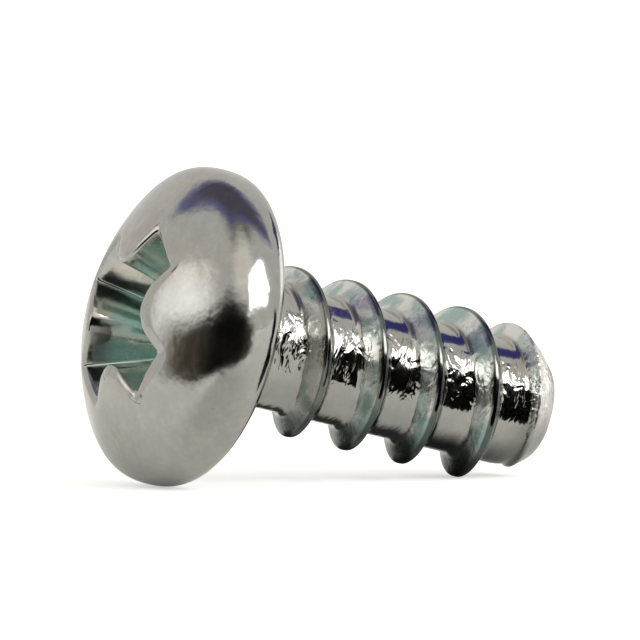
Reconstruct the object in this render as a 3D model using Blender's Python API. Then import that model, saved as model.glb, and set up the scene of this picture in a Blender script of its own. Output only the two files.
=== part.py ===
"""Short pan-head sheet metal screw with a cross recess, lying as it comes to rest on a flat surface.

The screw is one cold-headed and thread-rolled piece of steel wire. It is modelled upright, with its axis
along Z, the dome on top and the underside of the head at height zero, and is then laid down until the rim
of the head and the thread both touch the ground. Metres, +Z up, the ground at zero.
"""
import math

import bmesh
import bpy
from mathutils import Vector

# Head
HEAD_DIAMETER = 0.0067
HEAD_HEIGHT = 0.00245
RIM_HEIGHT = 0.00092
SHOULDER_RADIUS = 0.0005
RIM_EDGE_RADIUS = 0.0004

# Shank, measured from the underside of the head
SHANK_LENGTH = 0.0076
ROOT_DIAMETER = 0.0026
NECK_LENGTH = 0.0005
NECK_FILLET = 0.00045
END_DIAMETER = 0.00205
END_TAPER = math.radians(30)

# Thread: one start, right hand
CREST_DIAMETER = 0.0035
PITCH = 0.001335
FLANK_ANGLE = math.radians(60)
CREST_FLAT = 0.0001
ROOT_FILLET = 0.00012
FIRST_CREST = 0.0015
RUN_IN_ANGLE = math.radians(120)
RUN_OUT_LENGTH = 0.00135

# Cross recess, punched into the dome a little off the axis; widths are at the height of the wing tips
RECESS_SPAN = 0.00375
RECESS_DEPTH = 0.0019
RECESS_POINT_DEPTH = 0.0003
RECESS_TURN = math.radians(37)
RECESS_OFFSET = (-0.00006, 0.00012)
WING_SLOPE = math.radians(26.5)
WING_THICKNESS = 0.0011
WING_DRAFT = math.radians(6)
CORNER_SPAN = 0.00203
CORNER_ANGLE = math.radians(138)
CORNER_SLOPE = math.radians(14)

# Fineness of the faceted surface
STEPS_PER_TURN = 56
DOME_STEPS = 8
SHOULDER_STEPS = 6
EDGE_STEPS = 4
FILLET_STEPS = 4
WELD_DISTANCE = 0.000001

ZINC_COLOUR = (0.38, 0.375, 0.35, 1.0)


def arc(centre, radius, start, end, steps):
    """Points (across, up) of an arc, both ends included; angles are measured from straight up, outwards."""
    angles = [start + (end - start) * step / steps for step in range(steps + 1)]
    return [(centre[0] + radius * math.sin(a), centre[1] + radius * math.cos(a)) for a in angles]


def turned_point(radius, height, angle):
    """A point of a round surface. Angle zero is the side that ends up on top of the lying screw."""
    return Vector((radius * math.cos(angle), -radius * math.sin(angle), height))


def dome_radius():
    """Radius of the dome whose edge rolls over the shoulder onto the top of the upright rim."""
    rise = HEAD_HEIGHT - RIM_HEIGHT
    shoulder_across = HEAD_DIAMETER / 2 - SHOULDER_RADIUS
    return (rise ** 2 + shoulder_across ** 2 - SHOULDER_RADIUS ** 2) / (2 * (rise - SHOULDER_RADIUS))


def dome_drop(radius):
    """How far the dome has fallen below its apex at a distance from the axis."""
    return dome_radius() - math.sqrt(dome_radius() ** 2 - radius ** 2)


def head_outline():
    """Half outline of the head and neck, from the dome's apex down to where the thread begins."""
    head_radius = HEAD_DIAMETER / 2
    root_radius = ROOT_DIAMETER / 2
    dome_centre = HEAD_HEIGHT - dome_radius()
    shoulder_across = head_radius - SHOULDER_RADIUS
    tangent_angle = math.asin(shoulder_across / (dome_radius() - SHOULDER_RADIUS))
    dome = arc((0, dome_centre), dome_radius(), 0, tangent_angle, DOME_STEPS)
    shoulder = arc((shoulder_across, RIM_HEIGHT), SHOULDER_RADIUS, tangent_angle, math.pi / 2,
                   SHOULDER_STEPS)
    rim_centre = (head_radius - RIM_EDGE_RADIUS, RIM_EDGE_RADIUS)
    rim_edge = arc(rim_centre, RIM_EDGE_RADIUS, math.pi / 2, math.pi, EDGE_STEPS)
    fillet_centre = (root_radius + NECK_FILLET, -NECK_FILLET)
    fillet = arc(fillet_centre, NECK_FILLET, 0, -math.pi / 2, FILLET_STEPS)
    return dome + shoulder[1:] + rim_edge + fillet + [(root_radius, -NECK_LENGTH)]


def thread_ridge():
    """One pitch of the thread's section: (distance from the crest's middle, height above the root)."""
    depth = (CREST_DIAMETER - ROOT_DIAMETER) / 2
    flank_run = depth * math.tan(FLANK_ANGLE / 2)
    foot = CREST_FLAT / 2 + flank_run
    bend = (math.pi - FLANK_ANGLE) / 2
    tangent = min(ROOT_FILLET * math.tan(bend / 2), PITCH / 2 - foot)
    fillet_radius = tangent / math.tan(bend / 2)
    flank_angle_up = math.pi + bend
    fillet = arc((foot + tangent, fillet_radius), fillet_radius, flank_angle_up, math.pi, 2)
    tip_side = [(CREST_FLAT / 2, depth)] + fillet
    head_side = [(-offset, height) for offset, height in reversed(tip_side)]
    return [(-PITCH / 2, 0.0)] + head_side + tip_side + [(PITCH / 2, 0.0)]


def core_radius(depth):
    """Radius of the shank without its thread; the end is tapered."""
    return min(ROOT_DIAMETER / 2, END_DIAMETER / 2 + (SHANK_LENGTH - depth) * math.tan(END_TAPER))


def thread_growth(angle):
    """From nothing to full height, as the thread leaves the neck."""
    depth = (CREST_DIAMETER - ROOT_DIAMETER) / 2
    foot = CREST_FLAT / 2 + depth * math.tan(FLANK_ANGLE / 2)
    start_angle = 2 * math.pi * (NECK_LENGTH + foot - FIRST_CREST) / PITCH
    rise = min(max((angle - start_angle) / RUN_IN_ANGLE, 0.0), 1.0)
    return rise * rise * (3 - 2 * rise)


def thread_point(angle, offset, ridge_height):
    """A point of the threaded surface; what would lie past the neck or the end is gathered on its edge."""
    depth = FIRST_CREST + PITCH * angle / (2 * math.pi) + offset
    depth = min(max(depth, NECK_LENGTH), SHANK_LENGTH)
    run_out = min((SHANK_LENGTH - depth) / RUN_OUT_LENGTH, 1.0)
    height = ridge_height * thread_growth(angle) * run_out
    return turned_point(core_radius(depth) + height, -depth, angle)


def ring_angle(step):
    """Angle of a step round the axis, with a flat between two steps at the bottom and at the top."""
    return 2 * math.pi * (step + 0.5) / STEPS_PER_TURN


def add_strip(mesh, first, second):
    """Faces between two rows of equally many vertices."""
    for a, b, c, d in zip(first, first[1:], second[1:], second):
        mesh.faces.new((a, b, c, d))


def add_head(mesh):
    """The turned surface of the head and neck."""
    outline = head_outline()
    steps = list(range(STEPS_PER_TURN)) + [0]
    apex = mesh.verts.new((0, 0, outline[0][1]))
    rings = []
    for radius, height in outline[1:]:
        ring = [mesh.verts.new(turned_point(radius, height, ring_angle(step))) for step in steps[:-1]]
        rings.append(ring + ring[:1])
    for a, b in zip(rings[0], rings[0][1:]):
        mesh.faces.new((apex, a, b))
    for upper, lower in zip(rings, rings[1:]):
        add_strip(mesh, lower, upper)


def add_thread(mesh):
    """The threaded surface: one strip wound round the axis, each turn sharing its edge with the next."""
    ridge = thread_ridge()
    first_turn = math.floor((NECK_LENGTH - FIRST_CREST) / PITCH) - 1
    last_turn = math.ceil((SHANK_LENGTH - FIRST_CREST) / PITCH) + 1
    steps = range(first_turn * STEPS_PER_TURN, last_turn * STEPS_PER_TURN + 1)
    columns = []
    for step in steps:
        column = [mesh.verts.new(thread_point(ring_angle(step), *point)) for point in ridge]
        columns.append(column)
    for left, right in zip(columns, columns[1:]):
        add_strip(mesh, left, right)


def screw_body():
    """The whole screw without its recess, as one closed mesh."""
    mesh = bmesh.new()
    add_head(mesh)
    add_thread(mesh)
    bmesh.ops.remove_doubles(mesh, verts=mesh.verts, dist=WELD_DISTANCE)
    bmesh.ops.dissolve_degenerate(mesh, dist=WELD_DISTANCE, edges=mesh.edges)
    open_edges = [edge for edge in mesh.edges if edge.is_boundary]
    bmesh.ops.contextual_create(mesh, geom=open_edges)
    bmesh.ops.recalc_face_normals(mesh, faces=mesh.faces)
    data = bpy.data.meshes.new("screw")
    mesh.to_mesh(data)
    mesh.free()
    return data


def recess_section(depth):
    """Outline of the cross at a depth below the dome's apex, as (x, y) points."""
    below_tips = depth - dome_drop(RECESS_SPAN / 2)
    reach = RECESS_SPAN / 2 - below_tips * math.tan(WING_SLOPE)
    half = WING_THICKNESS / 2 - below_tips * math.tan(WING_DRAFT)
    nose = (CORNER_SPAN / 2 - below_tips * math.tan(CORNER_SLOPE)) / math.sqrt(2)
    nose_lean = (CORNER_ANGLE - math.pi / 2) / 2
    corner = nose + (nose - half) / math.tan(nose_lean)
    wing = [(reach, -half), (reach, half), (corner, half), (nose, nose), (half, corner)]
    points = []
    for quarter in range(4):
        turn = quarter * math.pi / 2
        for x, y in wing:
            across = x * math.cos(turn) - y * math.sin(turn)
            along = x * math.sin(turn) + y * math.cos(turn)
            points.append((across, along))
    return points


def recess_cutter():
    """The punch that makes the cross recess: a tapered cross with a shallow point under it."""
    mesh = bmesh.new()
    clear_of_dome = -RECESS_DEPTH / 4
    rings = []
    for depth in (clear_of_dome, RECESS_DEPTH):
        ring = [mesh.verts.new((x, y, HEAD_HEIGHT - depth)) for x, y in recess_section(depth)]
        rings.append(ring + ring[:1])
    add_strip(mesh, rings[1], rings[0])
    mesh.faces.new(rings[0][:-1])
    point = mesh.verts.new((0, 0, HEAD_HEIGHT - RECESS_DEPTH - RECESS_POINT_DEPTH))
    for a, b in zip(rings[1], rings[1][1:]):
        mesh.faces.new((point, b, a))
    bmesh.ops.recalc_face_normals(mesh, faces=mesh.faces)
    data = bpy.data.meshes.new("recess_punch")
    mesh.to_mesh(data)
    mesh.free()
    return data


def lowest_below_axis(points, lean):
    """How far a set of points reaches below the axis, when the axis leans down by an angle to the tip."""
    return max(-point.z * math.sin(lean) - point.x * math.cos(lean) for point in points)


def resting_lean(data):
    """Angle between the axis and the ground when the head's rim and the thread both touch it."""
    head = [vertex.co for vertex in data.vertices if vertex.co.z >= 0]
    shank = [vertex.co for vertex in data.vertices if vertex.co.z < 0]
    level, upright = 0.0, math.pi / 2
    for halving in range(40):
        lean = (level + upright) / 2
        if lowest_below_axis(head, lean) > lowest_below_axis(shank, lean):
            level = lean
        else:
            upright = lean
    return lean


def zinc_plating():
    """Bright zinc plating."""
    material = bpy.data.materials.new("bright_zinc")
    material.use_nodes = True
    shader = material.node_tree.nodes["Principled BSDF"]
    shader.inputs["Base Color"].default_value = ZINC_COLOUR
    shader.inputs["Metallic"].default_value = 1.0
    shader.inputs["Roughness"].default_value = 0.28
    return material


def clear_scene():
    for old in list(bpy.data.objects):
        bpy.data.objects.remove(old, do_unlink=True)


def build_screw():
    """The screw with its recess cut, in its resting place, centred over the origin."""
    collection = bpy.context.scene.collection
    screw = bpy.data.objects.new("screw", screw_body())
    collection.objects.link(screw)
    screw.data.materials.append(zinc_plating())
    screw.data.shade_smooth()
    screw.data.set_sharp_from_angle(angle=math.radians(30))

    punch = bpy.data.objects.new("recess_punch", recess_cutter())
    collection.objects.link(punch)
    punch.parent = screw
    punch.location = (*RECESS_OFFSET, 0)
    punch.rotation_euler = (0, 0, -RECESS_TURN)
    punch.hide_render = True
    punch.display_type = "WIRE"

    recess = screw.modifiers.new("cross_recess", "BOOLEAN")
    recess.operation = "DIFFERENCE"
    recess.solver = "EXACT"
    recess.object = punch

    lean = resting_lean(screw.data)
    screw.rotation_euler = (0, lean - math.pi / 2, 0)
    bpy.context.view_layer.update()
    laid = screw.evaluated_get(bpy.context.evaluated_depsgraph_get())
    corners = [laid.matrix_world @ vertex.co for vertex in laid.data.vertices]
    middle_x = (min(c.x for c in corners) + max(c.x for c in corners)) / 2
    middle_y = (min(c.y for c in corners) + max(c.y for c in corners)) / 2
    screw.location = (-middle_x, -middle_y, -min(c.z for c in corners))
    return screw


clear_scene()
build_screw()
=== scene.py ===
"""Short pan-head sheet metal screw of zinc-plated steel with a cross recess, lying on white card."""
import math

import bmesh
import bpy
from mathutils import Matrix, Vector


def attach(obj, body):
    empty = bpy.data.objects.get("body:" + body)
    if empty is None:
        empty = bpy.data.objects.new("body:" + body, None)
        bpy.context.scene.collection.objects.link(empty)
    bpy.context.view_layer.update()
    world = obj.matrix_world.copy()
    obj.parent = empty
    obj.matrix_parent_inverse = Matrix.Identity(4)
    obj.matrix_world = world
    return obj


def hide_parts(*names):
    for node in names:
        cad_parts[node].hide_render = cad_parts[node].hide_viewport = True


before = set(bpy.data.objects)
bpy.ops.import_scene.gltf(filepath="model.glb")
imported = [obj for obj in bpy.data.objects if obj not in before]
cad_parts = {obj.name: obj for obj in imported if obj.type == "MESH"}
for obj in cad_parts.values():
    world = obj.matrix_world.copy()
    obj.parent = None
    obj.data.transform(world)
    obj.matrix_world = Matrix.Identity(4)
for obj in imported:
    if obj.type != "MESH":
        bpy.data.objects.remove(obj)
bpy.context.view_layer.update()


# Head
# The upset end of the steel wire: a dome that rolls over a soft shoulder onto an upright rim. A punch has
# driven the cross recess into it cold and drawn the mouth's edge down into a lip, wider on the side that
# the punch leaned to. It is modelled upright, with the flat underside at height zero and the dome on top.

HEAD_RADIUS = 0.00335
HEAD_HEIGHT = 0.00245
RIM_HEIGHT = 0.00092
SHOULDER_RADIUS = 0.0005
RIM_EDGE_RADIUS = 0.0004
ROOT_RADIUS = 0.0013
NECK_LENGTH = 0.0005
NECK_FILLET = 0.00045

RECESS_SPAN = 0.00375
RECESS_DEPTH = 0.0019
RECESS_POINT_DEPTH = 0.0003
RECESS_TURN = math.radians(37)
RECESS_OFFSET = Vector((-0.00006, 0.00012))
WING_SLOPE = math.radians(26.5)
WING_THICKNESS = 0.0011
WING_DRAFT = math.radians(6)
CORNER_SPAN = 0.00203
CORNER_ANGLE = math.radians(138)
CORNER_SLOPE = math.radians(14)
WING_TIP_CUT = 0.00007
CORNER_CUT = 0.00016
LIP_NARROW = 0.0001
LIP_WIDE = 0.00032
LIP_WIDE_SIDE = math.radians(-90)
LIP_DROP = 0.2
LIP_EDGE = 0.00006
EVEN_RADIUS = 0.00245
OUTLINE_STEP = 0.00004
SOFTENED_STEPS = 6

WINGS = 4
WING_STEPS = (4, 6, 4, 4, 6, 4)
CORNER_STEPS = (4, 2, 2, 2, 4)
STEPS_PER_TURN = WINGS * (sum(WING_STEPS) + sum(CORNER_STEPS))
FLOOR_PARTS = (0.7, 0.4)
FLOOR_EDGE_SHARE = 0.12
FLOOR_CORNER_STEPS = 4
WALL_FOOT_SHARE = 0.06
WALL_STEPS = 8
LIP_STEPS = 7
INSIDE_FADE = (0.85, 0.6, 0.35, 0.2, 0.1)
MOUTH_TRIES = 12
DOME_RINGS = 8
UNDERSIDE_STEPS = 6
FILLET_STEPS = 8

dome_rise = HEAD_HEIGHT - RIM_HEIGHT
shoulder_across = HEAD_RADIUS - SHOULDER_RADIUS
dome_radius = (dome_rise ** 2 + shoulder_across ** 2 - SHOULDER_RADIUS ** 2) / (
    2 * (dome_rise - SHOULDER_RADIUS))
shoulder_angle = math.asin(shoulder_across / (dome_radius - SHOULDER_RADIUS))


def dome_drop(across):
    """How far the dome has fallen below its apex at a distance from the axis."""
    return dome_radius - math.sqrt(dome_radius ** 2 - across ** 2)


def bend(first, corner, last, steps):
    """Points of a soft bend round a corner, without the last one."""
    points = []
    for step in range(steps):
        t = step / steps
        points.append(first * (1 - t) ** 2 + corner * (2 * t * (1 - t)) + last * t ** 2)
    return points


def cross_outline(depth):
    """Outline of the recess at a depth below the dome's apex, from the middle of one wing's end."""
    below_tips = depth - dome_drop(RECESS_SPAN / 2)
    reach = RECESS_SPAN / 2 - below_tips * math.tan(WING_SLOPE)
    half = WING_THICKNESS / 2 - below_tips * math.tan(WING_DRAFT)
    nose = (CORNER_SPAN / 2 - below_tips * math.tan(CORNER_SLOPE)) / math.sqrt(2)
    corner = nose + (nose - half) / math.tan((CORNER_ANGLE - math.pi / 2) / 2)
    turns = [Vector(p) for p in ((reach, half), (corner, half), (nose, nose), (half, corner), (half, reach))]
    cuts = (WING_TIP_CUT, CORNER_CUT, CORNER_CUT, CORNER_CUT, WING_TIP_CUT)
    last = Vector((0, reach))
    after_turns = turns[1:] + [last]
    quarter = []
    here = Vector((reach, 0))
    for point, following, cut, straight, rounding in zip(turns, after_turns, cuts, WING_STEPS, CORNER_STEPS):
        before = point - (point - here).normalized() * cut
        after = point + (following - point).normalized() * cut
        quarter += [here.lerp(before, step / straight) for step in range(straight)]
        quarter += bend(before, point, after, rounding)
        here = after
    straight = WING_STEPS[-1]
    quarter += [here.lerp(last, step / straight) for step in range(straight)]
    outline = []
    for wing in range(WINGS):
        outline += [Matrix.Rotation(wing * 2 * math.pi / WINGS, 2) @ point for point in quarter]
    return outline


def recess_lines():
    """Lines of points from the recess's floor up over its lip, and how far inside each point is."""
    turned = Matrix.Rotation(-RECESS_TURN, 2)
    upper = [turned @ point + RECESS_OFFSET for point in cross_outline(0)]
    lower = [turned @ point + RECESS_OFFSET for point in cross_outline(RECESS_DEPTH)]
    lines = []
    mouth = []
    for top, bottom in zip(upper, lower):
        # The wall meets the dome at a depth that each try comes nearer to.
        depth = 0.0
        for attempt in range(MOUTH_TRIES):
            depth = dome_drop(top.lerp(bottom, depth / RECESS_DEPTH).length)
        across = top.lerp(bottom, depth / RECESS_DEPTH)
        mouth.append((across, depth))
    for index, (top, bottom) in enumerate(zip(upper, lower)):
        across, depth = mouth[index]
        along = mouth[(index + 1) % len(mouth)][0] - mouth[index - 1][0]
        outward = Vector((along.y, -along.x)).normalized()
        side = math.cos(math.atan2(outward.y, outward.x) - LIP_WIDE_SIDE)
        lip = LIP_NARROW + (LIP_WIDE - LIP_NARROW) * (0.5 + 0.5 * side)
        on_dome = across + outward * lip
        lip_outside = Vector((*on_dome, HEAD_HEIGHT - dome_drop(on_dome.length)))
        drawn_down = depth + lip * LIP_DROP
        lip_corner = Vector((*across, HEAD_HEIGHT - drawn_down))
        lip_depth = drawn_down + LIP_EDGE
        lip_inside = Vector((*top.lerp(bottom, lip_depth / RECESS_DEPTH), HEAD_HEIGHT - lip_depth))
        floor_corner = Vector((*bottom, HEAD_HEIGHT - RECESS_DEPTH))
        point = Vector((*RECESS_OFFSET, HEAD_HEIGHT - RECESS_DEPTH - RECESS_POINT_DEPTH))
        wall_foot = floor_corner.lerp(lip_inside, WALL_FOOT_SHARE)
        floor_edge = floor_corner.lerp(point, FLOOR_EDGE_SHARE)
        line = [floor_edge.lerp(point, part) for part in FLOOR_PARTS]
        line += bend(floor_edge, floor_corner, wall_foot, FLOOR_CORNER_STEPS)
        line += [wall_foot.lerp(lip_inside, step / WALL_STEPS) for step in range(WALL_STEPS)]
        line += bend(lip_inside, lip_corner, lip_outside, LIP_STEPS) + [lip_outside]
        fading = [*INSIDE_FADE] + [0.0] * (LIP_STEPS - 1)
        inside = [1.0] * (len(line) - len(fading)) + fading
        lines.append((line, inside))
    return lines


def arc(centre, radius, start, end, steps):
    """Points (across, up) of an arc; angles are measured from straight up, outwards."""
    angles = [start + (end - start) * step / steps for step in range(steps + 1)]
    return [(centre[0] + radius * math.sin(a), centre[1] + radius * math.cos(a)) for a in angles]


def even_arc(centre, radius, start, end):
    """The same with steps of one length on every arc."""
    return arc(centre, radius, start, end, round(radius * (end - start) / OUTLINE_STEP))


def softened(line):
    """The same line with every point moved to the mean of its neighbours on both sides; the ends stay."""
    moved = []
    for index in range(len(line)):
        reach = min(SOFTENED_STEPS, index, len(line) - 1 - index)
        near = line[index - reach:index + reach + 1]
        moved.append(tuple(sum(values) / len(near) for values in zip(*near)))
    return moved


def head_outline():
    """Half outline of the head and neck, from the even part of the dome down to where the thread begins."""
    dome_centre = (0, HEAD_HEIGHT - dome_radius)
    line = even_arc(dome_centre, dome_radius, math.asin(EVEN_RADIUS / dome_radius), shoulder_angle)
    line += even_arc((shoulder_across, RIM_HEIGHT), SHOULDER_RADIUS, shoulder_angle, math.pi / 2)[1:]
    rim_steps = round((RIM_HEIGHT - RIM_EDGE_RADIUS) / OUTLINE_STEP)
    line += [(HEAD_RADIUS, RIM_HEIGHT - OUTLINE_STEP * step) for step in range(1, rim_steps)]
    line += even_arc((HEAD_RADIUS - RIM_EDGE_RADIUS, RIM_EDGE_RADIUS), RIM_EDGE_RADIUS, math.pi / 2, math.pi)
    line = softened(softened(line))
    fillet_out = ROOT_RADIUS + NECK_FILLET
    flat_out = HEAD_RADIUS - RIM_EDGE_RADIUS
    flat_step = (fillet_out - flat_out) / UNDERSIDE_STEPS
    underside = [(flat_out + flat_step * step, 0.0) for step in range(1, UNDERSIDE_STEPS)]
    fillet = arc((fillet_out, -NECK_FILLET), NECK_FILLET, 0, -math.pi / 2, FILLET_STEPS)
    return line + underside + fillet + [(ROOT_RADIUS, -NECK_LENGTH)]


head = bmesh.new()
inside_layer = head.verts.layers.float.new("recess")
apex = head.verts.new((*RECESS_OFFSET, HEAD_HEIGHT - RECESS_DEPTH - RECESS_POINT_DEPTH))
apex[inside_layer] = 1.0
rings = []
up_the_recess = recess_lines()
for level in range(len(up_the_recess[0][0])):
    ring = []
    for line, inside in up_the_recess:
        vertex = head.verts.new(line[level])
        vertex[inside_layer] = inside[level]
        ring.append(vertex)
    rings.append(ring)
for level in range(1, DOME_RINGS):
    share = level / DOME_RINGS
    ring = []
    for index in range(STEPS_PER_TURN):
        angle = 2 * math.pi * index / STEPS_PER_TURN - RECESS_TURN
        lip_edge = up_the_recess[index][0][-1].xy
        even = Vector((math.cos(angle), math.sin(angle))) * EVEN_RADIUS
        across = lip_edge.lerp(even, share)
        ring.append(head.verts.new((*across, HEAD_HEIGHT - dome_drop(across.length))))
    rings.append(ring)
for across, up in head_outline():
    ring = []
    for index in range(STEPS_PER_TURN):
        angle = 2 * math.pi * index / STEPS_PER_TURN - RECESS_TURN
        ring.append(head.verts.new((across * math.cos(angle), across * math.sin(angle), up)))
    rings.append(ring)
for index in range(STEPS_PER_TURN):
    head.faces.new((apex, rings[0][index - 1], rings[0][index]))
for inner, outer in zip(rings, rings[1:]):
    for index in range(STEPS_PER_TURN):
        head.faces.new((inner[index - 1], outer[index - 1], outer[index], inner[index]))
head_mesh = bpy.data.meshes.new("sheet_metal_screw")
head.to_mesh(head_mesh)
head.free()
screw = bpy.data.objects.new("sheet_metal_screw", head_mesh)
bpy.context.scene.collection.objects.link(screw)


# Thread
# The shank below the head is squeezed between two flat dies that roll a coarse right-hand thread onto it.
# The ridge starts out of the neck, runs at full height down the shank and dies out on the tapered end,
# which the dies leave blunt with a slightly dished face. The node tree winds one strip round the axis.

THREAD_SIZES = {
    "Steps per Turn": STEPS_PER_TURN,
    "Section Points": 41,
    "First Step Angle": RECESS_TURN,
    "Pitch": 0.001335,
    "Crest Radius": 0.00175,
    "Root Radius": ROOT_RADIUS,
    "Flank Slope": math.radians(30),
    "Crest Flat": 0.0001,
    "Crest Rounding": 0.00005,
    "Root Rounding": 0.0002,
    "Crowding at Crest": 1.5,
    "First Crest": 0.0015,
    "Neck Length": NECK_LENGTH,
    "Rolled Fade": 0.0006,
    "Shank Length": 0.0076,
    "End Radius": 0.001025,
    "End Taper": math.radians(30),
    "End Rounding": 0.00022,
    "End Dish": 0.00006,
    "Dish Reach": 0.8,
    "Run-in Angle": math.radians(120),
    "Ridge End Radius": 0.00106,
    "Ridge End Taper": math.radians(35),
    "Crest Wear": 0.04,
    "Wear Patches per Metre": 1400.0,
    "Wear Detail": 2.0,
    "Wear Seed": 4.0,
    "Weld Distance": 0.0000015,
}


class Result:
    """What a node gives, ready for sums with numbers and with what other nodes give."""

    def __init__(self, workings, socket):
        self.workings = workings
        self.socket = socket

    def sum(self, operation, *others):
        """Any of the sums on numbers, with this one first."""
        sockets = dict(enumerate((self, *others)))
        return self.workings.node("ShaderNodeMath", {"operation": operation}, sockets)

    def __add__(self, other):
        return self.sum("ADD", other)

    def __radd__(self, other):
        return self.sum("ADD", other)

    def __sub__(self, other):
        return self.sum("SUBTRACT", other)

    def __rsub__(self, other):
        return self.workings.node("ShaderNodeMath", {"operation": "SUBTRACT"}, {0: other, 1: self})

    def __mul__(self, other):
        return self.sum("MULTIPLY", other)

    def __rmul__(self, other):
        return self.sum("MULTIPLY", other)

    def __truediv__(self, other):
        return self.sum("DIVIDE", other)

    def __rtruediv__(self, other):
        return self.workings.node("ShaderNodeMath", {"operation": "DIVIDE"}, {0: other, 1: self})


class Workings:
    """A node tree, to which every node is added in one way."""

    def __init__(self, tree):
        self.tree = tree

    def node(self, kind, settings=None, sockets=None, gives=0):
        """Adds a node: its settings are set first, then its sockets' values and links."""
        made = self.tree.nodes.new(kind)
        for name, value in (settings or {}).items():
            if name == "stops":
                while len(made.color_ramp.elements) < len(value):
                    made.color_ramp.elements.new(1.0)
                for element, (position, colour) in zip(made.color_ramp.elements, value):
                    element.position = position
                    element.color = colour
            else:
                setattr(made, name, value)
        for name, value in (sockets or {}).items():
            for one in value if isinstance(value, list) else [value]:
                if isinstance(one, Result):
                    self.tree.links.new(one.socket, made.inputs[name])
                else:
                    made.inputs[name].default_value = one
        return Result(self, made.outputs[gives]) if made.outputs else None

    def apart(self, vector):
        """The three parts of a vector."""
        split = self.node("ShaderNodeSeparateXYZ", None, {0: vector})
        return [Result(self, socket) for socket in split.socket.node.outputs]

    def together(self, x, y, z):
        """A vector made of three parts."""
        return self.node("ShaderNodeCombineXYZ", None, {0: x, 1: y, 2: z})

    def vector(self, operation, first, second, gives=0):
        """Any of the sums on vectors."""
        return self.node("ShaderNodeVectorMath", {"operation": operation}, {0: first, 1: second}, gives)

    def mix(self, share, first, second):
        """One colour going over into another; either may be a colour or a result."""
        return self.node("ShaderNodeMix", {"data_type": "RGBA"}, {0: share, 6: first, 7: second}, 2)

    def attribute(self, name):
        """What a mesh says of itself at each point."""
        return self.node("ShaderNodeAttribute", {"attribute_name": name}, None, "Fac")

    def fade(self, value, start, end, low=0.0, high=1.0):
        """Smoothly from low to high while the value goes from start to end."""
        return self.node("ShaderNodeMapRange", {"interpolation_type": "SMOOTHSTEP"},
                         {"Value": value, "From Min": start, "From Max": end, "To Min": low, "To Max": high})

    def fade_out(self, value, start, end, high=1.0, low=0.0):
        """Smoothly from high to low while the value goes from start to end."""
        return self.fade(value, start, end, high, low)


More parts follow.
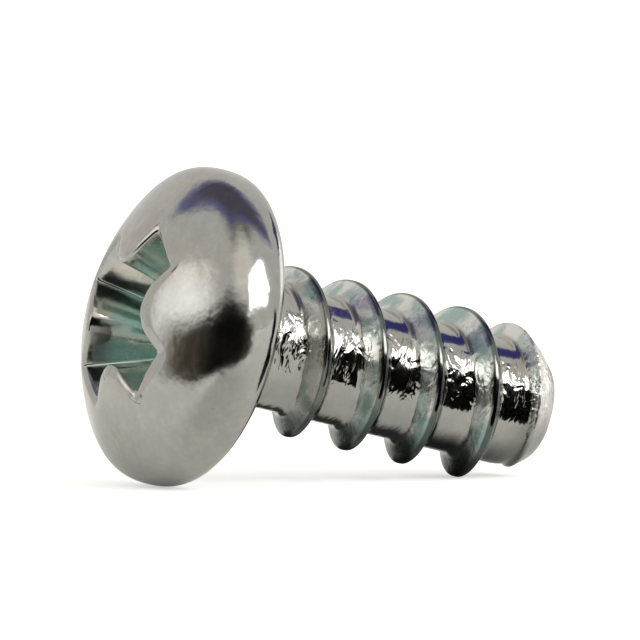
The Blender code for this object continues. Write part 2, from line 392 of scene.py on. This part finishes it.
def thread_rolling():
    """Node tree that adds the rolled thread and the blunt end to the head, and closes the screw."""
    tree = bpy.data.node_groups.new("thread_rolling", "GeometryNodeTree")
    work = Workings(tree)
    tree.interface.new_socket("Head", in_out="INPUT", socket_type="NodeSocketGeometry")
    tree.interface.new_socket("Screw", in_out="OUTPUT", socket_type="NodeSocketGeometry")
    for name, size in THREAD_SIZES.items():
        kind = "NodeSocketInt" if isinstance(size, int) else "NodeSocketFloat"
        tree.interface.new_socket(name, in_out="INPUT", socket_type=kind)
    tree.interface.new_socket("Finish", in_out="INPUT", socket_type="NodeSocketMaterial")
    given = work.node("NodeGroupInput")
    size = {socket.name: Result(work, socket) for socket in given.socket.node.outputs}

    pitch = size["Pitch"]
    length = size["Shank Length"]
    first_turn = ((size["Neck Length"] - size["First Crest"]) / pitch).sum("FLOOR") - 1
    last_turn = ((length + size["End Radius"] - size["First Crest"]) / pitch).sum("CEIL") + 1
    turns = last_turn - first_turn

    # Along the grid each turn is one long, and across it the section goes from minus one to one.
    grid = work.node("GeometryNodeMeshGrid", None, {
        "Size X": turns, "Size Y": 2.0,
        "Vertices X": turns * size["Steps per Turn"] + 1, "Vertices Y": size["Section Points"]})
    wound, across = work.apart(work.node("GeometryNodeInputPosition"))[:2]
    angle = (wound + turns / 2 + first_turn) * (2 * math.pi) + size["First Step Angle"]
    crowded = across.sum("SIGN") * across.sum("ABSOLUTE").sum("POWER", size["Crowding at Crest"])
    offset = crowded * pitch / 2
    run = size["First Crest"] + pitch * angle / (2 * math.pi) + offset
    run = run.sum("MAXIMUM", size["Neck Length"]).sum("MINIMUM", length + size["End Radius"])

    ridge_height = size["Crest Radius"] - size["Root Radius"]
    flank = size["Flank Slope"].sum("TANGENT")
    foot = size["Crest Flat"] / 2 + ridge_height * flank
    ridge = (foot - offset.sum("ABSOLUTE")) / flank
    ridge = ridge.sum("SMOOTH_MIN", ridge_height, size["Crest Rounding"])
    ridge = ridge.sum("SMOOTH_MAX", 0.0, size["Root Rounding"])
    run_in = 2 * math.pi * (size["Neck Length"] + foot - size["First Crest"]) / pitch
    growth = work.fade(angle, run_in, run_in + size["Run-in Angle"])
    cosine = angle.sum("COSINE")
    sine = angle.sum("SINE")
    wear_place = work.together(cosine * size["Root Radius"], sine * size["Root Radius"], run)
    wear = work.node("ShaderNodeTexNoise", {"noise_dimensions": "4D"}, {
        "Vector": wear_place, "W": size["Wear Seed"],
        "Scale": size["Wear Patches per Metre"], "Detail": size["Wear Detail"]})
    ridge = ridge * growth * (1 - size["Crest Wear"] * wear)

    taper = size["End Radius"] + (length - run) * size["End Taper"].sum("TANGENT")
    core = taper.sum("SMOOTH_MIN", size["Root Radius"], size["End Rounding"])
    core = core.sum("SMOOTH_MIN", size["End Radius"] + length - run, size["End Rounding"])
    core = core.sum("MAXIMUM", 0.0)
    envelope = size["Ridge End Radius"] + (length - run) * size["Ridge End Taper"].sum("TANGENT")
    ridge = ridge.sum("SMOOTH_MIN", envelope - core, size["Crest Rounding"]).sum("MAXIMUM", 0.0)
    past_face = size["End Rounding"] / 2
    ridge = ridge * work.fade_out(run, length - past_face, length + past_face)
    radius = core + ridge
    dish = work.fade_out(core / size["End Radius"], 0.0, size["Dish Reach"]) * size["End Dish"]
    depth = run.sum("SMOOTH_MIN", length, size["End Rounding"]) - dish
    place = work.together(radius * cosine, radius * sine * -1, depth * -1)

    rolled = work.fade(run, size["Neck Length"], size["Neck Length"] + size["Rolled Fade"])
    strip = grid
    for name, value in (("ridge", ridge / ridge_height), ("rolled", rolled)):
        strip = work.node("GeometryNodeStoreNamedAttribute", {"data_type": "FLOAT", "domain": "POINT"},
                          {"Geometry": strip, "Name": name, "Value": value})
    strip = work.node("GeometryNodeSetPosition", None, {"Geometry": strip, "Position": place})
    whole = work.node("GeometryNodeJoinGeometry", None, {"Geometry": [size["Head"], strip]})
    whole = work.node("GeometryNodeMergeByDistance", None,
                      {"Geometry": whole, "Distance": size["Weld Distance"]})
    whole = work.node("GeometryNodeSetShadeSmooth", None, {"Geometry": whole})
    whole = work.node("GeometryNodeRealizeInstances", None, {"Geometry": whole})
    whole = work.node("GeometryNodeSetMaterial", None, {"Geometry": whole, "Material": size["Finish"]})
    work.node("NodeGroupOutput", None, {"Screw": whole})
    return tree


# Plating
# Bright zinc, a few micrometres thick, over the headed and rolled steel. It lies even and satin on the
# head, shines on the rolled roots, whose skin the dies have wrinkled, and keeps the blue-green cast of its
# sealing coat where nothing rubs it, in the recess and on the flanks of the thread. Painted light and shade
# are also laid into its colour, on the recess's far walls, along the crests and on the thread's sides.

# How the screw lies: the lean of its axis, and where the middle of its head's underside is.
LEAN = math.radians(13.592313)
SEAT = Vector((-0.0025546, 0.0, 0.0031635))
MILLIMETRES = 1000
laid = Matrix.Translation(SEAT) @ Matrix.Rotation(LEAN - math.pi / 2, 4, "Y")
upright = laid.inverted()

zinc = bpy.data.materials.new("bright_zinc_plating")
zinc.use_nodes = True
plating = Workings(zinc.node_tree)
shader = zinc.node_tree.nodes["Principled BSDF"]

# A place on the metal, in millimetres: upward is towards the side that lies on top, sideways is towards the
# back, and along is nought under the head and falls towards the blunt end.
own_place = plating.node("ShaderNodeMapping", None, {
    "Vector": plating.node("ShaderNodeTexCoord", None, None, "Object"),
    "Location": upright.translation * MILLIMETRES,
    "Rotation": upright.to_euler(),
    "Scale": (MILLIMETRES, MILLIMETRES, MILLIMETRES)})
upward, sideways, along = plating.apart(own_place)

# Where each look begins and ends: on the ridge in shares of its height, and elsewhere in millimetres.
FLANK_FOOT = (0.05, 0.3)
FLANK_TOP = (0.7, 0.98)
ROOT_EDGE = (0.0, 0.25)
COAT_EDGE = (0.05, 0.25)
CREST_EDGE = (0.84, 0.95)
CRUMPLE_EDGE = (0.02, 0.12)
FAR_WALL_EDGE = (0.85, 0.95)
SCUFF_AND_HIGHLIGHT_BOTTOM = (-0.75, -0.1)
SCUFF_AND_HIGHLIGHT_TOP = (0.7, 0.86)
SMOOTH_TOP = (0.7, 0.88)
SHADED_UNDERSIDE_TOP = (-1.5, -0.85)
WORN_END = (-7.0, -6.5)
WORN_BOTTOM = (-1.0, 0.0)
DARKER_END_REACH = (-7.0, -6.4)
DARKER_END_TOP = (-0.6, 0.1)
DARKER_END_SHARE = 0.62

recess = plating.attribute("recess")
ridge = plating.attribute("ridge")
flank = plating.fade(ridge, *FLANK_FOOT) * plating.fade_out(ridge, *FLANK_TOP)
root = plating.attribute("rolled") * plating.fade_out(ridge, *ROOT_EDGE)
crest = plating.fade(ridge, *CREST_EDGE)
far_wall = plating.fade(sideways, *FAR_WALL_EDGE)
scuffed_and_highlit = plating.fade(upward, *SCUFF_AND_HIGHLIGHT_BOTTOM) * plating.fade_out(upward, *SCUFF_AND_HIGHLIGHT_TOP)
worn_end = plating.fade_out(along, *WORN_END) * plating.fade(upward, *WORN_BOTTOM)
end_darker_below = plating.fade_out(along, *DARKER_END_REACH) * plating.fade_out(upward, *DARKER_END_TOP, DARKER_END_SHARE)


def mottle(scale, detail=2.0, roughness=0.5, stretch=(1, 1, 1), distortion=0.0):
    """Soft random variation over the metal; the scale is patches per millimetre."""
    place = plating.vector("MULTIPLY", own_place, stretch)
    return plating.node("ShaderNodeTexNoise", None, {
        "Vector": place, "Scale": scale, "Detail": detail, "Roughness": roughness, "Distortion": distortion})


def patches(scale, detail, grade, start, end):
    """Patches of a look: nought where the variation is below the start, and one above the end."""
    return plating.fade(mottle(scale, detail, grade), start, end)


def bumps(height, *mottling):
    """Variation around nought, so that the edge of a look doesn't tilt the metal."""
    return (mottle(*mottling) - 0.5) * height


def spot(middle, inner, outer):
    """One near a place on the metal, and nought further out."""
    return plating.fade_out(plating.vector("DISTANCE", own_place, middle, "Value"), inner, outer)


WARM_GREY = (0.50, 0.485, 0.44, 1)
COOL_GREY = (0.46, 0.475, 0.455, 1)
TAN = (0.46, 0.40, 0.32, 1)
DULL_GREY = (0.37, 0.365, 0.36, 1)
SPECKLE_GREY = (0.41, 0.41, 0.4, 1)

# Patches per millimetre, their detail and roughness, and where they begin and end.
COOL_PATCHES = (0.8, 2.0, 0.5, 0.35, 0.65)
TAN_PATCHES = (1.3, 3.0, 0.5, 0.56, 0.75)
DULL_PATCHES = (2.6, 4.0, 0.6, 0.42, 0.62)
SPECKLES = (5.5, 3.0, 0.6, 0.38, 0.62)
PUNCHED_PATCHES = (1.7, 2.0, 0.5, 0.5, 0.62)
COAT_PATCHES = (1.4, 3.0, 0.5, 0.44, 0.6)
CLOUDS = (2.2, 3.0, 0.5, 0.3, 0.7)

TAN_SHARE = 0.5
DULL_SHARE = 0.4
SPECKLE_SHARE = 0.5
colour = plating.mix(patches(*COOL_PATCHES), WARM_GREY, COOL_GREY)
colour = plating.mix(patches(*TAN_PATCHES) * TAN_SHARE, colour, TAN)
colour = plating.mix(patches(*DULL_PATCHES) * DULL_SHARE, colour, DULL_GREY)
colour = plating.mix(patches(*SPECKLES) * SPECKLE_SHARE, colour, SPECKLE_GREY)

# The recess keeps its coat. Its far walls carry painted light and shade: pale bands of painted highlight and
# dark bands of painted shade, each given with its height above the axis, and a pale and a dark spot of the
# same, each given with its place and with where it begins and ends to fade.
PUNCHED_TEAL = (0.58, 0.76, 0.72, 1)
PUNCHED_PALE = (0.82, 0.78, 0.7, 1)
COATED = (0.6, 0.78, 0.74, 1)
PAINTED_HIGHLIGHT_PALE = (0.88, 0.84, 0.74, 1)
PAINTED_SHADE_DARK = (0.05, 0.05, 0.045, 1)
WALL_LIGHT_AND_SHADE_BANDS = ((-0.63, COATED), (-0.555, PAINTED_HIGHLIGHT_PALE), (-0.42, PAINTED_HIGHLIGHT_PALE), (-0.345, COATED), (0.465, COATED),
              (0.555, PAINTED_SHADE_DARK), (0.675, PAINTED_SHADE_DARK), (0.75, PAINTED_HIGHLIGHT_PALE), (1.05, PAINTED_HIGHLIGHT_PALE), (1.14, COATED))
WALL_LIGHT_AND_SHADE_SPOTS = (((0.0, 1.3, 2.05), 0.26, 0.34, PAINTED_HIGHLIGHT_PALE), ((-0.5, 1.2, 2.0), 0.24, 0.29, PAINTED_SHADE_DARK))
WALL_REACH = 3.0
WALL_UNEVENNESS = (0.09, 3.0)
WALL_SHARE = 0.9
RECESS_SHARE = 0.95
wall_stops = [(0.5 + band_height / WALL_REACH, band_colour) for band_height, band_colour in WALL_LIGHT_AND_SHADE_BANDS]
on_wall = (upward + bumps(*WALL_UNEVENNESS)) / WALL_REACH + 0.5
wall_light_and_shade = plating.node("ShaderNodeValToRGB", {"stops": wall_stops}, {0: on_wall})
punched = plating.mix(patches(*PUNCHED_PATCHES), PUNCHED_TEAL, PUNCHED_PALE)
# On the far walls the pale bands and the pale spot are painted highlight, and the dark ones are painted
# shade.
punched = plating.mix(far_wall * WALL_SHARE, punched, wall_light_and_shade)
for middle, inner, outer, spot_colour in WALL_LIGHT_AND_SHADE_SPOTS:
    punched = plating.mix(spot(middle, inner, outer) * far_wall, punched, spot_colour)
colour = plating.mix(recess * RECESS_SHARE, colour, punched)

# The thread keeps patches of its coat. The coat is thinner in a scuffed middle band, where the paler metal
# is also a painted highlight, and the lowest side is darkest, partly the coat and partly painted shade. Its
# end is rubbed bare above and darker below, a dark line of painted shade runs along its crests, and the head
# has one dark pit.
PALE = (0.82, 0.82, 0.79, 1)
TEAL = (0.4, 0.53, 0.5, 1)
TEAL_AND_PAINTED_SHADE = (0.05, 0.075, 0.07, 1)
END_DARK_GREY = (0.2, 0.2, 0.17, 1)
PIT_BLACK = (0.08, 0.08, 0.075, 1)
CREST_PAINTED_SHADE = (0.05, 0.055, 0.05, 1)
PIT = (upright @ Vector((-0.00487, -0.00129, 0.00199))) * MILLIMETRES
PIT_EDGE = (0.02, 0.07)
PIT_SHARE = 0.75
SHADED_UNDERSIDE_SHARE = 0.9
COAT_SHARE = 0.97
COAT_OFF_FOR_HIGHLIGHT = 0.5
CREST_SHARE = 0.8
# The coat thins in the scuffed middle band, and the paler metal there is also a painted highlight.
coat_left = patches(*COAT_PATCHES) * (1 - worn_end) * (1 - scuffed_and_highlit * COAT_OFF_FOR_HIGHLIGHT)
coat = plating.mix(coat_left, PALE, TEAL)
# The darker teal on the lowest side is partly the coat and partly painted shade.
coat = plating.mix(plating.fade_out(upward, *SHADED_UNDERSIDE_TOP, SHADED_UNDERSIDE_SHARE), coat, TEAL_AND_PAINTED_SHADE)
colour = plating.mix(plating.fade(ridge, *COAT_EDGE) * COAT_SHARE, colour, coat)
# The end is darker towards its bottom.
colour = plating.mix(end_darker_below, colour, END_DARK_GREY)
colour = plating.mix(spot(PIT, *PIT_EDGE) * PIT_SHARE, colour, PIT_BLACK)
# The dark line along the crests is painted shade.
colour = plating.mix(crest * CREST_SHARE, colour, CREST_PAINTED_SHADE)
shader.inputs["Metallic"].default_value = 1.0
plating.tree.links.new(colour.socket, shader.inputs["Base Color"])

FINE_GRAIN = (9.0, 4.0, 0.6)
PLAIN_ROUGHNESS = 0.075
CLOUDED = 0.05
GRAINED = 0.05
ROOT_SHINE = 0.02
RECESS_DULLNESS = 0.14
FLANK_DULLNESS = 0.15
fine = mottle(*FINE_GRAIN)
roughness = PLAIN_ROUGHNESS + patches(*CLOUDS) * CLOUDED + fine * GRAINED
roughness = roughness - root * ROOT_SHINE + recess * RECESS_DULLNESS + flank * FLANK_DULLNESS
plating.tree.links.new(roughness.socket, shader.inputs["Roughness"])

# The metal's unevenness: its height in millimetres, then its patches per millimetre, their detail,
# roughness, stretch and distortion.
WRINKLES = (0.08, 3.6, 2.0, 0.5, (0.6, 0.6, 1), 0.8)
STREAKS = (0.012, 8.0, 2.0, 0.5, (0.2, 0.2, 1))
CRUMPLES = (0.07, 4.6, 3.0, 0.5, (1, 1, 1), 0.6)

# The same for the finer kinds, whose heights stand alone, and how much of each there is in places.
PEEL_SCALE = 2.4
PEEL_HEIGHT = 0.009
FLANK_GRAIN = (11.0, 3.0, 0.6)
FLANK_GRAIN_HEIGHT = 0.006
FINE_HEIGHT = 0.0012
UNSCUFFED_SHARE = 0.06
FLANK_PEEL = 1.5
FLANK_WRINKLES = 0.7
TOP_SHARE = 0.1
peel = mottle(PEEL_SCALE) * PEEL_HEIGHT + fine * FINE_HEIGHT
grain = mottle(*FLANK_GRAIN) * FLANK_GRAIN_HEIGHT
wrinkles = bumps(*WRINKLES)
streaks = bumps(*STREAKS)
smooth_top = plating.fade_out(upward, *SMOOTH_TOP, 1.0, TOP_SHARE)
crumples = bumps(*CRUMPLES) * plating.fade(ridge, *CRUMPLE_EDGE) * worn_end
height = peel + (wrinkles * (UNSCUFFED_SHARE + scuffed_and_highlit) + streaks) * root * smooth_top
height = height + (peel * FLANK_PEEL + grain + wrinkles * scuffed_and_highlit * FLANK_WRINKLES) * flank + crumples
bump = plating.node("ShaderNodeBump", None, {
    "Strength": 1.0, "Distance": 1 / MILLIMETRES, "Height": height})
plating.tree.links.new(bump.socket, shader.inputs["Normal"])

tree = thread_rolling()
rolling = screw.modifiers.new("thread_rolling", "NODES")
rolling.node_group = tree
for item in tree.interface.items_tree:
    if item.in_out == "INPUT" and item.name in THREAD_SIZES:
        rolling[item.identifier] = THREAD_SIZES[item.name]
    elif item.name == "Finish":
        rolling[item.identifier] = zinc
finished = screw.evaluated_get(bpy.context.evaluated_depsgraph_get())
screw_mesh = bpy.data.meshes.new_from_object(finished, preserve_all_data_layers=True,
                                             depsgraph=bpy.context.evaluated_depsgraph_get())
screw.modifiers.remove(rolling)
screw.data = screw_mesh
screw_mesh.transform(laid)
screw_mesh.transform(Matrix.Translation((0, 0, -min(vertex.co.z for vertex in screw_mesh.vertices))))
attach(screw, "root")
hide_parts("screw")


# Floor
# A sheet of white card that runs on past the picture and takes the screw's soft shadow. A little of its
# whiteness is given only to the camera and to what the metal mirrors, and the metal alone mirrors two soft
# dark patches of it, one close to the thread and a fainter one before the head.

CARD_REACH = 4
CAMERA_GLOW = 0.5
MIRRORED_GLOW = 0.08
WHITE = (1, 1, 1, 1)
CARD_WHITE = (0.9, 0.9, 0.89, 1)
CARD_SHADED = (0.05, 0.06, 0.06, 1)

# A place taken from the middle of the thread's patch, times its two slants, tells how far out it is: one is
# the patch's edge.
THREAD_SHADE_MIDDLE = (0.0003, 0.0017, 0)
THREAD_SHADE_SLANTS = ((220, 0, 0), (310, 540, 0))
THREAD_SHADE_EDGE = (0.55, 1.0)
THREAD_SHADE_SHARE = 0.96
HEAD_SHADE_MIDDLE = (-0.006, -0.0065, 0)
HEAD_SHADE_EDGE = (0.002, 0.0065)
HEAD_SHADE_SHARE = 0.32


def plain_look(name):
    """A material whose usual shader has been taken out, and its workings."""
    look = bpy.data.materials.new(name)
    look.use_nodes = True
    look.node_tree.nodes.remove(look.node_tree.nodes["Principled BSDF"])
    return look, Workings(look.node_tree)


def show(look, surface):
    """Gives a material its surface."""
    look.node_tree.links.new(surface.socket, look.node_tree.nodes["Material Output"].inputs["Surface"])


card_corners = [(x * CARD_REACH, y * CARD_REACH, 0) for x, y in ((-1, -1), (1, -1), (1, 1), (-1, 1))]
floor_mesh = bpy.data.meshes.new("white_card")
floor_mesh.from_pydata(card_corners, [], [(0, 1, 2, 3)])
floor = bpy.data.objects.new("white_card", floor_mesh)
bpy.context.scene.collection.objects.link(floor)
card, card_work = plain_look("white_card")
ray = card_work.node("ShaderNodeLightPath").socket.node.outputs
seen_by_camera = Result(card_work, ray["Is Camera Ray"])
mirrored = Result(card_work, ray["Is Glossy Ray"])
on_card = card_work.node("ShaderNodeTexCoord", None, None, "Object")
from_middle = card_work.vector("SUBTRACT", on_card, THREAD_SHADE_MIDDLE)
lengthways, crossways = [
    card_work.vector("DOT_PRODUCT", from_middle, slant, "Value") for slant in THREAD_SHADE_SLANTS]
from_thread_shade = (lengthways * lengthways + crossways * crossways).sum("SQRT")
from_head_shade = card_work.vector("DISTANCE", on_card, HEAD_SHADE_MIDDLE, "Value")
thread_shade = card_work.fade_out(from_thread_shade, *THREAD_SHADE_EDGE, THREAD_SHADE_SHARE)
head_shade = card_work.fade_out(from_head_shade, *HEAD_SHADE_EDGE, HEAD_SHADE_SHARE)
shade = thread_shade.sum("MAXIMUM", head_shade) * mirrored
paper_colour = card_work.mix(shade, CARD_WHITE, CARD_SHADED)
paper = card_work.node("ShaderNodeBsdfDiffuse", None, {"Color": paper_colour})
seen = seen_by_camera * CAMERA_GLOW + mirrored * MIRRORED_GLOW
glow = card_work.node("ShaderNodeEmission", None, {"Color": WHITE, "Strength": seen * (1 - shade)})
show(card, card_work.node("ShaderNodeAddShader", None, {0: paper, 1: glow}))
floor_mesh.materials.append(card)


# Light
# A room with pale walls and a grey ceiling, three soft bright places and a bright window on the right. Dark
# cloth stands before the head, dark card stands before the thread, and a violet sheet and a blue strip hang
# above. The metal alone sees these four, as what it mirrors.

PALE_WALL = (0.74, 0.72, 0.68, 1)
GREY_CEILING = (0.26, 0.25, 0.24, 1)
CEILING_EDGE = (0.8, 0.97)

# Azimuth and elevation, cosine of the angle to the place's edge and to its core, strength and colour.
BRIGHT_PLACES = ((-18, 52, 0.84, 0.98, 0.7, (1.25, 1.2, 1.06, 1)),
                 (-103, 21, 0.927, 1.0, 1.0, (1.72, 1.67, 1.61, 1)),
                 (106, 8, 0.96, 0.998, 1.0, (1.8, 1.77, 1.7, 1)))

WINDOW_HEADING = (26, 30)
WINDOW_DISTANCE = 0.6
WINDOW_WIDTH = 0.34
WINDOW_HEIGHT = 0.3
WINDOW_RADIANCE = 5.0
DAYLIGHT = (1, 0.99, 0.97)


def heading(azimuth, elevation):
    """Direction from the screw; azimuth zero is the front, ninety the end of the screw."""
    a = math.radians(azimuth)
    e = math.radians(elevation)
    return Vector((math.sin(a) * math.cos(e), -math.cos(a) * math.cos(e), math.sin(e)))


world = bpy.context.scene.world or bpy.data.worlds.new("pale_room")
bpy.context.scene.world = world
world.use_nodes = True
room = Workings(world.node_tree)
towards = room.node("ShaderNodeTexCoord", None, None, "Generated")
walls = room.mix(room.fade(room.apart(towards)[2], *CEILING_EDGE), PALE_WALL, GREY_CEILING)
for azimuth, elevation, edge, core, strength, place_colour in BRIGHT_PLACES:
    nearness = room.vector("DOT_PRODUCT", towards, heading(azimuth, elevation), "Value")
    walls = room.mix(room.fade(nearness, edge, core) * strength, walls, place_colour)
to_camera = Result(room, room.node("ShaderNodeLightPath").socket.node.outputs["Is Camera Ray"])
walls = room.mix(to_camera, walls, WHITE)
room.tree.links.new(walls.socket, world.node_tree.nodes["Background"].inputs["Color"])

lamp = bpy.data.lights.new("right_window", "AREA")
lamp.shape = "RECTANGLE"
lamp.size = WINDOW_WIDTH
lamp.size_y = WINDOW_HEIGHT
lamp.energy = WINDOW_RADIANCE * math.pi * WINDOW_WIDTH * WINDOW_HEIGHT
lamp.color = DAYLIGHT
window = bpy.data.objects.new("right_window", lamp)
window.location = heading(*WINDOW_HEADING) * WINDOW_DISTANCE
window.rotation_euler = heading(*WINDOW_HEADING).to_track_quat("Z", "Y").to_euler()
window.visible_camera = False
bpy.context.scene.collection.objects.link(window)

# Each stop is an azimuth with the lowest and highest elevation of the cloth there, seen from the head's
# front, and how pale the cloth is at that place.
CLOTH_STOPS = ((-116, -11, 18, 0.7), (-100, -14, 21, 0.55), (-92, -16, 22, 0.32), (-85, -17, 24, 0.1),
               (-78, -18, 29, 0.02), (-70, -19, 37, 0.0), (-60, -20, 38, 0.0), (-45, -23, 38, 0.0),
               (-30, -27, 35, 0.0), (-15, -29, 30, 0.0), (0, -29, 24, 0.0), (12, -25, 15, 0.1),
               (20, -17, 7, 0.3), (26, -9, 1, 0.6))
HEAD_FRONT = Vector((-0.004, -0.0026, 0.0035))
CLOTH_DISTANCE = 0.1
CLOTH_ABOVE_CARD = 0.0003
CLOTH_ROWS = 16
HEM_SHARE = 0.2
HEM_PALENESS = 0.25
THIN_BOTTOM = 0.14
THIN_TOP = 0.17
THIN_TOP_PALE = 0.35
THIN_COLUMNS = 4
FELT_DARK = (0.004, 0.004, 0.004, 1)
FELT_PALE = (0.27, 0.23, 0.17, 1)

# The dark card lies on the floor and then stands up: where its near and far edge end, as seen from above,
# and the heights of its upper edge.
CARD_NEAR = ((-0.0002, -0.0037), (0.0062, -0.0019))
CARD_FAR = ((0.0006, -0.0050), (0.0085, -0.0050))
CARD_HEIGHTS = (0.0043, 0.0031)
CARD_ABOVE_FLOOR = 0.0002

# The sheets' corners and middles are given in millimetres, seen from above. Each ring round the middle has
# its size, whether it is of the hem's colour, and how thin it is.
SHEET_HEIGHT = 0.01
VIOLET_CORNERS = ((-7.2, 5.0), (-6.1, 1.9), (-5.5, -2.3), (-2.5, -3.1), (-0.6, -3.5), (1.2, -4.4),
                  (4.4, -4.8), (2.0, -2.1), (0.7, 0.0), (-0.9, 1.7), (-2.6, 2.5), (-4.0, 4.0), (-5.6, 5.2))
VIOLET_MIDDLE = (-2.6, -0.6)
VIOLET_RINGS = ((0.5, 0.0, 0.0), (0.76, 1.0, 0.1), (1.0, 1.0, 1.0))
BLUE_CORNERS = ((4.7, -1.2), (13.5, -1.2), (13.5, 2.8), (4.7, 2.8))
BLUE_MIDDLE = (9.1, 0.8)
BLUE_RINGS = ((0.9, 1.0, 0.0), (1.0, 1.0, 1.0))
DARK_VIOLET = (0.12, 0.11, 0.15, 1)
VIOLET = (0.16, 0.155, 0.36, 1)
BLUE = (0.06, 0.06, 0.24, 1)


def prop(name, points, faces, look, layers):
    """A thing that only the metal sees, with the named values that its look reads at each point."""
    mesh = bpy.data.meshes.new(name)
    mesh.from_pydata(points, [], faces)
    for layer, values in layers.items():
        mesh.attributes.new(layer, "FLOAT", "POINT").data.foreach_set("value", values)
    mesh.materials.append(look)
    thing = bpy.data.objects.new(name, mesh)
    bpy.context.scene.collection.objects.link(thing)
    thing.visible_camera = False
    thing.visible_diffuse = False
    thing.visible_shadow = False
    thing.visible_transmission = False
    return thing


def thinning(look, work, solid):
    """Gives a material a surface that lets everything through where it is thin."""
    nothing = work.node("ShaderNodeBsdfTransparent")
    show(look, work.node("ShaderNodeMixShader", None, {0: work.attribute("thin"), 1: solid, 2: nothing}))


felt, felt_work = plain_look("dark_cloth")
felt_colour = felt_work.mix(felt_work.attribute("pale"), FELT_DARK, FELT_PALE)
thinning(felt, felt_work, felt_work.node("ShaderNodeBsdfDiffuse", None, {"Color": felt_colour}))

cloth_points = []
cloth_pale = []
cloth_thin = []
for first, second in zip(CLOTH_STOPS, CLOTH_STOPS[1:]):
    for share in (0, 0.25, 0.5, 0.75):
        azimuth, low, high, pale_here = [a + (b - a) * share for a, b in zip(first, second)]
        for row in range(CLOTH_ROWS):
            part_up = row / (CLOTH_ROWS - 1)
            slope = math.tan(math.radians(low + (high - low) * part_up))
            out = CLOTH_DISTANCE
            if slope < 0:
                out = min(out, (HEAD_FRONT.z - CLOTH_ABOVE_CARD) / -slope)
            ahead = heading(azimuth, 0) * out
            cloth_points.append((HEAD_FRONT.x + ahead.x, HEAD_FRONT.y + ahead.y, HEAD_FRONT.z + out * slope))
            hem_here = max(0.0, (part_up - 1 + HEM_SHARE) / HEM_SHARE) * HEM_PALENESS
            cloth_pale.append(min(1.0, pale_here + hem_here))
            top = THIN_TOP + THIN_TOP_PALE * pale_here
            cloth_thin.append(max(0.0, 1 - part_up / THIN_BOTTOM, 1 - (1 - part_up) / top))
cloth_columns = len(cloth_points) // CLOTH_ROWS
for column in range(THIN_COLUMNS):
    for end in (column, cloth_columns - 1 - column):
        for index in range(end * CLOTH_ROWS, (end + 1) * CLOTH_ROWS):
            cloth_thin[index] = max(cloth_thin[index], 1 - column / THIN_COLUMNS)
cloth_faces = []
for column in range(cloth_columns - 1):
    for index in range(column * CLOTH_ROWS, (column + 1) * CLOTH_ROWS - 1):
        cloth_faces.append((index, index + CLOTH_ROWS, index + CLOTH_ROWS + 1, index + 1))
cloth = prop("dark_cloth", cloth_points, cloth_faces, felt, {"pale": cloth_pale, "thin": cloth_thin})

card_points = [(*place, CARD_ABOVE_FLOOR) for place in CARD_NEAR + CARD_FAR[::-1]]
card_points += [(*place, high) for place, high in zip(CARD_FAR, CARD_HEIGHTS)]
dark_card = prop("dark_card", card_points, [(0, 1, 2, 3), (3, 2, 5, 4)], felt, {})


def hung_sheet(name, corners, middle, rings, core_colour, hem_colour):
    """A level, glowing sheet made of rings round its middle."""
    middle = Vector(middle)
    places = [middle]
    hem = [rings[0][1]]
    thin = [0.0]
    for size, hem_here, thin_here in rings:
        places += [middle.lerp(Vector(corner), size) for corner in corners]
        hem += [hem_here] * len(corners)
        thin += [thin_here] * len(corners)
    last = len(corners)
    faces = [(0, 1 + i, 1 + (i + 1) % last) for i in range(last)]
    for inner in range(1, 1 + (len(rings) - 1) * last, last):
        for i in range(last):
            following = (i + 1) % last
            faces.append((inner + i, inner + last + i, inner + last + following, inner + following))
    look, work = plain_look(name)
    dyed = work.mix(work.attribute("hem"), core_colour, hem_colour)
    thinning(look, work, work.node("ShaderNodeEmission", None, {"Color": dyed}))
    points = [(*place / MILLIMETRES, SHEET_HEIGHT) for place in places]
    return prop(name, points, faces, look, {"hem": hem, "thin": thin})


violet_sheet = hung_sheet("violet_sheet", VIOLET_CORNERS, VIOLET_MIDDLE, VIOLET_RINGS, DARK_VIOLET, VIOLET)
blue_sheet = hung_sheet("blue_sheet", BLUE_CORNERS, BLUE_MIDDLE, BLUE_RINGS, BLUE, BLUE)


# Camera
# A very long lens, low over the card and on the head's side of the screw. It looks a little to the right of
# the head's underside and a little above it.

CAMERA_HEADING = (-26.228, 3.495)
CAMERA_DISTANCE = 0.4
AIM_RIGHT = 0.0021924
AIM_UP = 0.0002633

camera_data = bpy.data.cameras.new("camera")
camera_data.sensor_width = 36
camera_data.lens = 1087.5
camera_data.clip_start = 0.01
camera_data.clip_end = 20
camera = bpy.data.objects.new("camera", camera_data)
bpy.context.scene.collection.objects.link(camera)
back = heading(*CAMERA_HEADING)
right = Vector((0, 0, 1)).cross(back).normalized()
up = back.cross(right)
aim = SEAT + right * AIM_RIGHT + up * AIM_UP
turned_to_aim = Matrix((right, up, back)).transposed().to_4x4()
camera.matrix_world = Matrix.Translation(aim + back * CAMERA_DISTANCE) @ turned_to_aim
bpy.context.scene.camera = camera

bpy.context.scene.view_settings.view_transform = "Standard"
